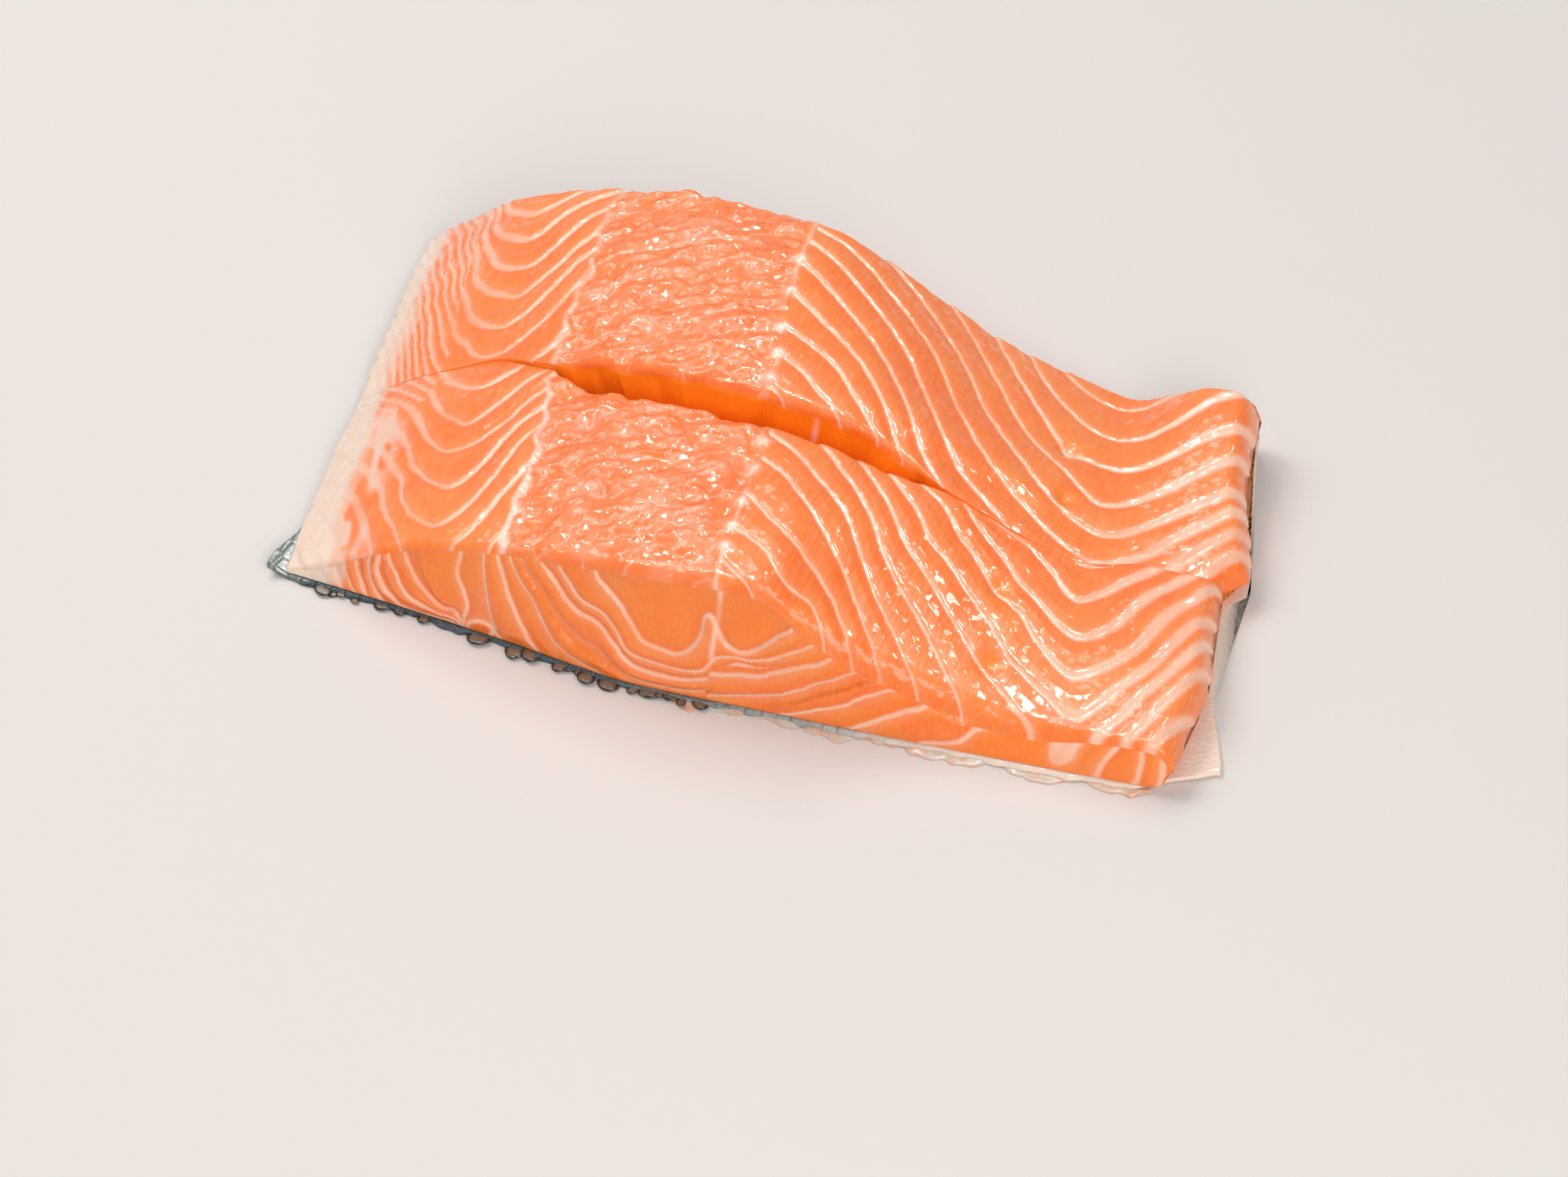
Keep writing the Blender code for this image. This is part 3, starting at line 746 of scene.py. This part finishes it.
def skin_material():
    """Salmon skin: slate on the fish's back, silver scales lower down, clear membrane at the belly."""
    material, tree, surface = new_material("scaled_salmon_skin")
    place = add_node(tree, "ShaderNodeTexCoord", out="Object")
    tissue = add_node(tree, "ShaderNodeAttribute", out="Color", attribute_name="tissue")
    slate, clear, glitter = add_node(tree, "ShaderNodeSeparateColor", {0: tissue}).node.outputs
    rows = add_node(tree, "ShaderNodeMapping", {"Vector": place, "Scale": (1.25, 1.0, 1.0)})
    cell = {"Vector": rows, "Scale": 1 / (4.5 * MM), "Randomness": 0.35}
    scales = add_node(tree, "ShaderNodeTexVoronoi", cell, out="Distance",
                      feature="DISTANCE_TO_EDGE")
    shade = add_node(tree, "ShaderNodeTexVoronoi", cell, out="Color")
    edge = add_node(tree, "ShaderNodeMapRange", {0: scales, 1: 0.02, 2: 0.14, 3: 1.0, 4: 0.0})
    speckle = add_node(tree, "ShaderNodeTexNoise", {"Vector": place, "Scale": 1 / (1.3 * MM),
                                                    "Detail": 4.0, "Roughness": 0.7})
    dark = add_node(tree, "ShaderNodeMix", {0: speckle, 6: linear("1d2730"), 7: linear("5c6a70")},
                    out=2, data_type="RGBA")
    opaque = add_node(tree, "ShaderNodeMath", {0: 1.0, 1: clear}, operation="SUBTRACT")
    edge = add_node(tree, "ShaderNodeMath", {0: edge, 1: opaque}, operation="MULTIPLY")
    lines = add_node(tree, "ShaderNodeMath", {0: edge, 1: 0.35}, operation="MULTIPLY")
    shade_share = add_node(tree, "ShaderNodeMath", {0: shade, 1: 0.25}, operation="MULTIPLY")
    colour = linear("59615f")
    for share, paint in (
            (speckle, linear("d3d6cf")),        # silver specks
            (shade_share, linear("6d7a80")),    # some scales greyer than others
            (slate, dark),                      # slate back of the fish
            (clear, linear("f0d8c6")),          # clear membrane over pale tissue
            (lines, linear("3a4448"))):         # dark outline of each scale
        colour = add_node(tree, "ShaderNodeMix", {0: share, 6: colour, 7: paint}, out=2,
                          data_type="RGBA")
    height = add_node(tree, "ShaderNodeMath", {0: edge, 1: -0.25 * MM}, operation="MULTIPLY")
    grain = add_node(tree, "ShaderNodeMath", {0: speckle, 1: 0.4 * MM}, operation="MULTIPLY")
    height = add_node(tree, "ShaderNodeMath", {0: height, 1: grain}, operation="ADD")
    relief = add_node(tree, "ShaderNodeBump", {"Height": height, "Distance": 1.0, "Strength": 0.8})
    metal = add_node(tree, "ShaderNodeMath", {0: glitter, 1: 0.5}, operation="MULTIPLY")
    shader = add_node(tree, "ShaderNodeBsdfPrincipled", {
        "Base Color": colour, "Roughness": 0.32, "Metallic": metal, "IOR": 1.45,
        "Coat Weight": 0.5, "Coat Roughness": 0.1, "Normal": relief,
        "Subsurface Weight": 0.15, "Subsurface Radius": (1.0, 0.6, 0.4),
        "Subsurface Scale": 1.5 * MM})
    tree.links.new(shader, surface)
    return material


def scale_material():
    """Loose scales: thin horn, clear in the middle with a brown rim."""
    material, tree, surface = new_material("loose_horn_scale")
    place = add_node(tree, "ShaderNodeTexCoord", out="Object")
    rim = add_node(tree, "ShaderNodeAttribute", out="Fac", attribute_name="rim")
    speckle = add_node(tree, "ShaderNodeTexNoise", {"Vector": place, "Scale": 1 / (1.0 * MM)})
    brown = add_node(tree, "ShaderNodeMapRange", {0: rim, 1: 0.55, 2: 0.85, 3: 0.0, 4: 1.0})
    colour = linear("927a60")
    for share, paint in ((brown, linear("21140c")), (speckle, linear("4a3728"))):
        colour = add_node(tree, "ShaderNodeMix", {0: share, 6: colour, 7: paint}, out=2,
                          data_type="RGBA")
    shader = add_node(tree, "ShaderNodeBsdfPrincipled", {
        "Base Color": colour, "Roughness": 0.35, "IOR": 1.5, "Coat Weight": 0.2,
        "Coat Roughness": 0.15})
    tree.links.new(shader, surface)
    return material


def fringe_material():
    """Ragged tissue under the belly: wet, see-through and pinkish where flesh clings to it."""
    material, tree, surface = new_material("clear_wet_membrane")
    place = add_node(tree, "ShaderNodeTexCoord", out="Object")
    patch = add_node(tree, "ShaderNodeTexNoise", {"Vector": place, "Scale": 1 / (5 * MM),
                                                  "Detail": 4.0})
    share = add_node(tree, "ShaderNodeMapRange", {0: patch, 1: 0.4, 2: 0.62, 3: 0.0, 4: 1.0})
    colour = add_node(tree, "ShaderNodeMix", {0: share, 6: linear("dccdb8"), 7: linear("f0a888")},
                      out=2, data_type="RGBA")
    grain = add_node(tree, "ShaderNodeMath", {0: patch, 1: 0.5 * MM}, operation="MULTIPLY")
    relief = add_node(tree, "ShaderNodeBump", {"Height": grain, "Distance": 1.0})
    shader = add_node(tree, "ShaderNodeBsdfPrincipled", {
        "Base Color": colour, "Roughness": 0.42, "IOR": 1.36, "Coat Weight": 0.15,
        "Coat Roughness": 0.15, "Normal": relief, "Subsurface Weight": 0.4,
        "Subsurface Radius": (1.0, 0.7, 0.5), "Subsurface Scale": 2.0 * MM})
    tree.links.new(shader, surface)
    return material


# ---------------------------------------------------------------- sizes and colours to change

class FilletShape(bpy.types.PropertyGroup):
    """Sizes of the fillet, in metres."""

    width: bpy.props.FloatProperty(
        name="Width", description="Back edge to belly edge, along the front cut",
        default=0.21, unit="LENGTH")
    side_slant: bpy.props.FloatProperty(
        name="Side slant", description="How far the side edges run back for each unit along the fish",
        default=0.13)
    skin_thickness: bpy.props.FloatProperty(
        name="Skin thickness", description="Thickness of the skin", default=0.0012, unit="LENGTH")
    crown: bpy.props.FloatProperty(
        name="Crown", description="How much a portion rises between its cuts",
        default=0.0015, unit="LENGTH")
    edge_radius: bpy.props.FloatProperty(
        name="Edge radius", description="Rounding along the top of a cut",
        default=0.0022, unit="LENGTH")
    flap_radius: bpy.props.FloatProperty(
        name="Flap radius", description="Rounding along the belly edge", default=0.005, unit="LENGTH")
    flap_lift: bpy.props.FloatProperty(
        name="Flap lift", description="How high the flap's back corner stands off the surface",
        default=0.0035, unit="LENGTH")


class FilletSurface(bpy.types.PropertyGroup):
    """Finish of the flesh."""

    torn_relief: bpy.props.FloatProperty(
        name="Torn relief", description="Depth of the rough stretch where the membrane came off",
        default=0.001, unit="LENGTH")
    muscle: bpy.props.FloatVectorProperty(
        name="Muscle", description="Main colour of the flesh", subtype="COLOR",
        default=linear("ff761a")[:3])
    muscle_light: bpy.props.FloatVectorProperty(
        name="Light muscle", description="Where the flesh is paler", subtype="COLOR",
        default=linear("ff8734")[:3])
    # painted glow: a brighter orange for the slit, the pits and the front face, where light scattered
    # in the flesh would glow
    deep_and_glow: bpy.props.FloatVectorProperty(
        name="Deep flesh", description="Fresh cuts and folds", subtype="COLOR",
        default=linear("ff8616")[:3])
    seam: bpy.props.FloatVectorProperty(
        name="Seams", description="Fat between the flakes", subtype="COLOR",
        default=linear("ffd2b8")[:3])
    fat: bpy.props.FloatVectorProperty(
        name="Back fat", description="Fat along the fish's back", subtype="COLOR",
        default=linear("efd6c2")[:3])


# ---------------------------------------------------------------- operators

class FILLET_OT_front_portion(bpy.types.Operator):
    """Flesh in front of the slit, with the cut face that shows the stacked flakes"""

    bl_idname = "fillet.front_portion"
    bl_label = "Front portion"

    def execute(self, context):
        shape = context.scene.fillet_shape
        radius = shape.edge_radius / MM
        across, angle = flap_stations(430)
        foot = [curve(FRONT_CUT, across), curve(MIDDLE_CUT, across)]
        front_height = curve(FRONT_HEIGHT, across)
        opening = curve(SLIT_OPENING, across)
        top = [foot[0] + 3.0 * np.minimum(front_height / 20.0, 1.0), foot[1] - opening]
        rounded = radius * (0.85 + 0.75 * smoothstep(0.2, 0.35, across)
                            + 1.0 * smoothstep(0.54, 0.62, across)
                            - 1.7 * smoothstep(0.82, 0.95, across))
        rings, side = portion_rings(
            across, angle, foot, top, [front_height, curve(SLIT_FRONT_HEIGHT, across)],
            [rounded, radius * smoothstep(0.0, 2.0, opening) + 0.15], (6, 22, 6, 118, 62),
            BELLY_EDGE_FRONT)
        piece = dress_portion("front_portion", rings, side, FRONT_BELLY_SEAMS, FRONT_LOIN_SEAMS,
                              TORN_LEFT_FRONT, lambda x, y: 1.0, REAR_WALL, flesh_material())
        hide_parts("front_flesh")
        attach(piece, "root")
        return {"FINISHED"}


class FILLET_OT_back_portion(bpy.types.Operator):
    """Flesh behind the slit, whose wall shows deep orange inside the slit"""

    bl_idname = "fillet.back_portion"
    bl_label = "Back portion"

    def execute(self, context):
        shape = context.scene.fillet_shape
        radius = shape.edge_radius / MM
        across, angle = flap_stations(430)
        foot = [curve(MIDDLE_CUT, across), curve(BACK_CUT, across)]
        opening = curve(SLIT_OPENING, across)
        top = [foot[0] + opening, foot[1] - 1.0]
        rings, side = portion_rings(
            across, angle, foot, top, [curve(SLIT_BACK_HEIGHT, across), curve(BACK_HEIGHT, across)],
            [radius * smoothstep(0.0, 2.0, opening) + 0.15, 0.8 * radius + 0 * across],
            (6, 50, 6, 118, 38), BELLY_EDGE_BACK)

        def face_scale(x, y):
            share = (x + shape.side_slant * y) * MM / shape.width
            return curve(FRONT_HEIGHT, share) / curve(BACK_HEIGHT, share)

        piece = dress_portion("back_portion", rings, side, BACK_BELLY_SEAMS, BACK_LOIN_SEAMS,
                              TORN_LEFT_BACK, face_scale, FRONT_WALL, flesh_material())
        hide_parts("back_flesh")
        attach(piece, "root")
        return {"FINISHED"}


class FILLET_OT_skin(bpy.types.Operator):
    """The sheet of skin under both portions, with its ragged front edge and its loose corner"""

    bl_idname = "fillet.skin"
    bl_label = "Skin"

    def execute(self, context):
        shape = context.scene.fillet_shape
        thickness = shape.skin_thickness / MM
        # the first station stands past the back edge, where the skin's corner curls up
        inside = np.concatenate([[0.0], np.linspace(0.0, 1.0, 320)])
        past_edge = (np.arange(len(inside)) == 0)[:, None]
        share = np.linspace(0.0, 1.0, 60)[None]
        front = blend(curve(FRONT_CUT, inside) - FRINGE, MEMBRANE_FRONT,
                      smoothstep(0.955, 1.0, inside))
        line = np.stack([inside * shape.width / MM, 0 * inside, 0 * inside], -1)
        front = front + 0.5 * noise(line, 4.0, 61, 3)
        y = blend(front[:, None], curve(BACK_CUT, inside)[:, None], share)
        x = plan_x(inside[:, None], y, SKIN_EDGE)
        z = lift(x, y) + 2.2 * smoothstep(20.0, 3.0, y) * past_edge
        x = x - past_edge * blend(TOUCH_GAP, 4.4, smoothstep(19.0, 0.0, y) ** 1.4)
        under = np.stack([x, y, z], -1)
        top = np.stack([x, y, z + thickness], -1)
        rings = np.concatenate([under, top[:, ::-1]], axis=1)
        piece = loft("skin_sheet", rings, skin_material())
        px, py = rings[..., 0], rings[..., 1]
        slate = smoothstep(128.0, 70.0, px + 8.0 * noise(rings, 9.0, 63))
        slate *= smoothstep(-3.0, 7.0, px + shape.side_slant * py + 3.0 * noise(rings, 2.5, 67))
        clear = smoothstep(120.0, 165.0, px + 6.0 * noise(rings, 6.0, 65))
        glitter = smoothstep(60.0, 5.0, px)
        store(piece.data, "tissue", "POINT", np.stack([slate, clear, glitter, 0 * px], -1))
        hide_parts("skin")
        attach(piece, "root")
        return {"FINISHED"}


class FILLET_OT_fringe(bpy.types.Operator):
    """Ragged, clear bits of tissue that hang out under the front cut towards the belly"""

    bl_idname = "fillet.fringe"
    bl_label = "Fringe"

    def execute(self, context):
        start, end = FRINGE_SPAN
        across = np.linspace(start, end, 300)
        width = context.scene.fillet_shape.width
        line = np.stack([across * width / MM, 0 * across, 0 * across], -1)
        reach = 1.2 + 1.6 * np.clip(noise(line, 6.0, 71, 3) + 0.2, -0.6, 1.2)
        reach = reach * smoothstep(start, 0.5, across) * smoothstep(end, 0.97, across) + 0.1
        front = curve(FRONT_CUT, across)
        wave = 0.35 + 0.5 * np.clip(noise(line, 5.0, 73, 2), 0.0, 1.0)
        share = np.linspace(0.0, 1.0, 6)[None]
        y = (front + 0.2)[:, None] - (reach + 0.6)[:, None] * share
        z = wave[:, None] * (1.0 - share) ** 0.7 + 0.05
        x = plan_x(across[:, None], y, BELLY_EDGE_FRONT)
        under = np.stack([x, y, z], -1)
        top = np.stack([x, y, z + FRINGE_THICKNESS * (1.0 - 0.7 * share)], -1)
        rings = np.concatenate([under[:, ::-1], top], axis=1)
        piece = loft("belly_fringe", rings, fringe_material())
        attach(piece, "root")
        return {"FINISHED"}


def scale_blank():
    """One loose scale, 1 mm long and slightly cupped, whose rim is marked."""
    rings, around = 3, 12
    places, rims = [(0.0, 0.0, 0.05)], [0.0]
    for ring in range(1, rings + 1):
        reach = ring / rings
        for step in range(around):
            turn = 2.0 * math.pi * step / around
            places.append((0.5 * reach * math.cos(turn), 0.38 * reach * math.sin(turn),
                           0.05 - 0.04 * reach * reach))
            rims.append(reach)
    count = len(places)
    places += [(x, y, z - 0.04) for x, y, z in places]
    faces = []
    for step in range(around):
        following = (step + 1) % around
        faces.append((0, 1 + step, 1 + following))
        for ring in range(rings - 1):
            a, b = 1 + ring * around + step, 1 + ring * around + following
            faces.append((a, a + around, b + around, b))
    faces += [tuple(count + i for i in reversed(face)) for face in faces]
    last = 1 + (rings - 1) * around
    for step in range(around):
        a, b = last + step, last + (step + 1) % around
        faces.append((a, a + count, b + count, b))
    mesh = bpy.data.meshes.new("scale_blank")
    mesh.from_pydata(places, [], faces)
    mesh.attributes.new("rim", "FLOAT", "POINT").data.foreach_set("value", rims * 2)
    mesh.shade_smooth()
    blank = bpy.data.objects.new("scale_blank", mesh)
    bpy.context.scene.collection.objects.link(blank)
    return blank


def scatter_tree(material):
    """Node group that lays copies of a blank along a line, turned and sized at random."""
    tree = bpy.data.node_groups.new("scatter_along_line", "GeometryNodeTree")
    face = tree.interface
    face.new_socket("Geometry", in_out="INPUT", socket_type="NodeSocketGeometry")
    face.new_socket("Blank", in_out="INPUT", socket_type="NodeSocketObject")
    face.new_socket("Count", in_out="INPUT", socket_type="NodeSocketInt")
    face.new_socket("Size", in_out="INPUT", socket_type="NodeSocketFloat")
    face.new_socket("Spread", in_out="INPUT", socket_type="NodeSocketFloat")
    face.new_socket("Geometry", in_out="OUTPUT", socket_type="NodeSocketGeometry")
    given = tree.nodes.new("NodeGroupInput").outputs
    blank = add_node(tree, "GeometryNodeObjectInfo", {"Object": given["Blank"]}, out="Geometry")
    line = add_node(tree, "GeometryNodeMeshToCurve", {0: given["Geometry"]})
    points = add_node(tree, "GeometryNodeResampleCurve", {"Curve": line, "Count": given["Count"]})
    offset = add_node(tree, "FunctionNodeRandomValue", {0: (-1.0, -0.45, 0.0), 1: (1.0, 0.8, 0.2),
                                                        "Seed": 5}, data_type="FLOAT_VECTOR")
    offset = add_node(tree, "ShaderNodeVectorMath", {0: offset, "Scale": given["Spread"]},
                      operation="SCALE")
    moved = add_node(tree, "GeometryNodeSetPosition", {"Geometry": points, "Offset": offset})
    turn = add_node(tree, "FunctionNodeRandomValue", {0: (-0.04, -0.05, -1.2), 1: (0.1, 0.05, 1.2),
                                                      "Seed": 11}, data_type="FLOAT_VECTOR")
    share = add_node(tree, "FunctionNodeRandomValue", {2: 0.3, 3: 1.0, "Seed": 17}, out=1,
                     data_type="FLOAT")
    size = add_node(tree, "ShaderNodeMath", {0: share, 1: given["Size"]}, operation="MULTIPLY")
    copies = add_node(tree, "GeometryNodeInstanceOnPoints", {
        "Points": moved, "Instance": blank, "Rotation": turn, "Scale": size})
    real = add_node(tree, "GeometryNodeRealizeInstances", {0: copies})
    finished = add_node(tree, "GeometryNodeSetMaterial", {"Geometry": real, "Material": material})
    tree.links.new(finished, tree.nodes.new("NodeGroupOutput").inputs[0])
    return tree


class FILLET_OT_loose_scales(bpy.types.Operator):
    """Brown-rimmed scales that the knife pushed out along the foot of the front cut"""

    bl_idname = "fillet.loose_scales"
    bl_label = "Loose scales"

    def execute(self, context):
        across = np.linspace(*SCALE_SPAN, 60)
        y = curve(FRONT_CUT, across) - FRINGE
        line = np.stack([plan_x(across, y, BELLY_EDGE_FRONT), y, 0.55 + 0 * y], -1)
        mesh = bpy.data.meshes.new("scale_line")
        edges = [(i, i + 1) for i in range(len(across) - 1)]
        mesh.from_pydata(((line + shift()) * MM).tolist(), edges, [])
        carrier = bpy.data.objects.new("scale_line", mesh)
        context.scene.collection.objects.link(carrier)
        blank = scale_blank()
        tree = scatter_tree(scale_material())
        modifier = carrier.modifiers.new("scatter", "NODES")
        modifier.node_group = tree
        values = {"Blank": blank, "Count": 44, "Size": 6.2 * MM, "Spread": 2.3 * MM}
        for item in tree.interface.items_tree:
            if item.in_out == "INPUT" and item.name in values:
                modifier[item.identifier] = values[item.name]
        context.view_layer.update()
        evaluated = carrier.evaluated_get(context.evaluated_depsgraph_get())
        finished = bpy.data.meshes.new_from_object(evaluated)
        bpy.data.objects.remove(carrier)
        bpy.data.objects.remove(blank)
        if not finished.vertices:
            raise RuntimeError("no loose scales were made")
        piece = bpy.data.objects.new("loose_scales", finished)
        context.scene.collection.objects.link(piece)
        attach(piece, "root")
        return {"FINISHED"}


class FILLET_OT_stage(bpy.types.Operator):
    """Pale floor, soft studio light and the camera"""

    bl_idname = "fillet.stage"
    bl_label = "Stage"

    def execute(self, context):
        scene = context.scene
        scene.view_settings.view_transform = "Standard"
        mesh = bpy.data.meshes.new("floor")
        half = 4.0
        mesh.from_pydata([(-half, -half, 0), (half, -half, 0), (half, half, 0), (-half, half, 0)],
                         [], [(0, 1, 2, 3)])
        material, tree, surface = new_material("matt_paper")
        shader = add_node(tree, "ShaderNodeBsdfPrincipled", {
            "Base Color": linear("dad3ce"), "Roughness": 0.8, "Specular IOR Level": 0.2})
        tree.links.new(shader, surface)
        mesh.materials.append(material)
        floor = bpy.data.objects.new("floor", mesh)
        scene.collection.objects.link(floor)

        world = bpy.data.worlds.new("studio")
        world.use_nodes = True
        world.node_tree.nodes["Background"].inputs[0].default_value = linear("f3f4f6")
        world.node_tree.nodes["Background"].inputs[1].default_value = 0.45
        scene.world = world

        # name, place, size, power, and whether it lights the flesh or only shines on its wet film
        lamps = [("key", (-0.9, 0.2, 1.3), 0.7, 10.6, True),
                 ("fill", (0.75, -1.0, 0.9), 0.8, 12.0, True),
                 ("window", (-0.7, 1.0, 1.5), 0.6, 7.0, True),
                 ("gleam_top", (-0.1, 0.3, 1.7), 0.45, 27.0, False),
                 ("gleam_back", (0.5, 0.9, 1.5), 0.22, 5.0, False)]
        for name, place, size, power, diffuse in lamps:
            lamp = bpy.data.lights.new(name, "AREA")
            lamp.size = size
            lamp.energy = power
            holder = bpy.data.objects.new(name, lamp)
            holder.location = place
            holder.visible_diffuse = diffuse
            holder.rotation_euler = (-Vector(place)).to_track_quat("-Z", "Y").to_euler()
            scene.collection.objects.link(holder)

        camera = bpy.data.cameras.new("camera")
        camera.lens = 120.98
        camera.sensor_width = 36.0
        camera.sensor_fit = "HORIZONTAL"
        camera.clip_end = 20.0
        holder = bpy.data.objects.new("camera", camera)
        holder.location = (0.34280, -0.83452, 0.81886)
        holder.rotation_euler = [math.radians(turn) for turn in (46.97, 1.989, 20.625)]
        scene.collection.objects.link(holder)
        scene.camera = holder
        return {"FINISHED"}


class FILLET_PT_panel(bpy.types.Panel):
    """Lists the fillet's sizes, colours and pieces"""

    bl_idname = "FILLET_PT_panel"
    bl_label = "Raw salmon fillet"
    bl_space_type = "VIEW_3D"
    bl_region_type = "UI"
    bl_category = "Fillet"

    def draw(self, context):
        for group in (context.scene.fillet_shape, context.scene.fillet_surface):
            for name in group.__annotations__:
                self.layout.prop(group, name)
        for operator in OPERATORS:
            self.layout.operator(operator.bl_idname)


OPERATORS = (FILLET_OT_front_portion, FILLET_OT_back_portion, FILLET_OT_skin, FILLET_OT_fringe,
             FILLET_OT_loose_scales, FILLET_OT_stage)
CLASSES = (FilletShape, FilletSurface) + OPERATORS + (FILLET_PT_panel,)


def register():
    for one in CLASSES:
        bpy.utils.register_class(one)
    bpy.types.Scene.fillet_shape = bpy.props.PointerProperty(type=FilletShape)
    bpy.types.Scene.fillet_surface = bpy.props.PointerProperty(type=FilletSurface)


def unregister():
    del bpy.types.Scene.fillet_surface
    del bpy.types.Scene.fillet_shape
    for one in reversed(CLASSES):
        bpy.utils.unregister_class(one)


def main():
    register()
    for operator in OPERATORS:
        group, name = operator.bl_idname.split(".")
        getattr(getattr(bpy.ops, group), name)()


if __name__ == "__main__":
    main()
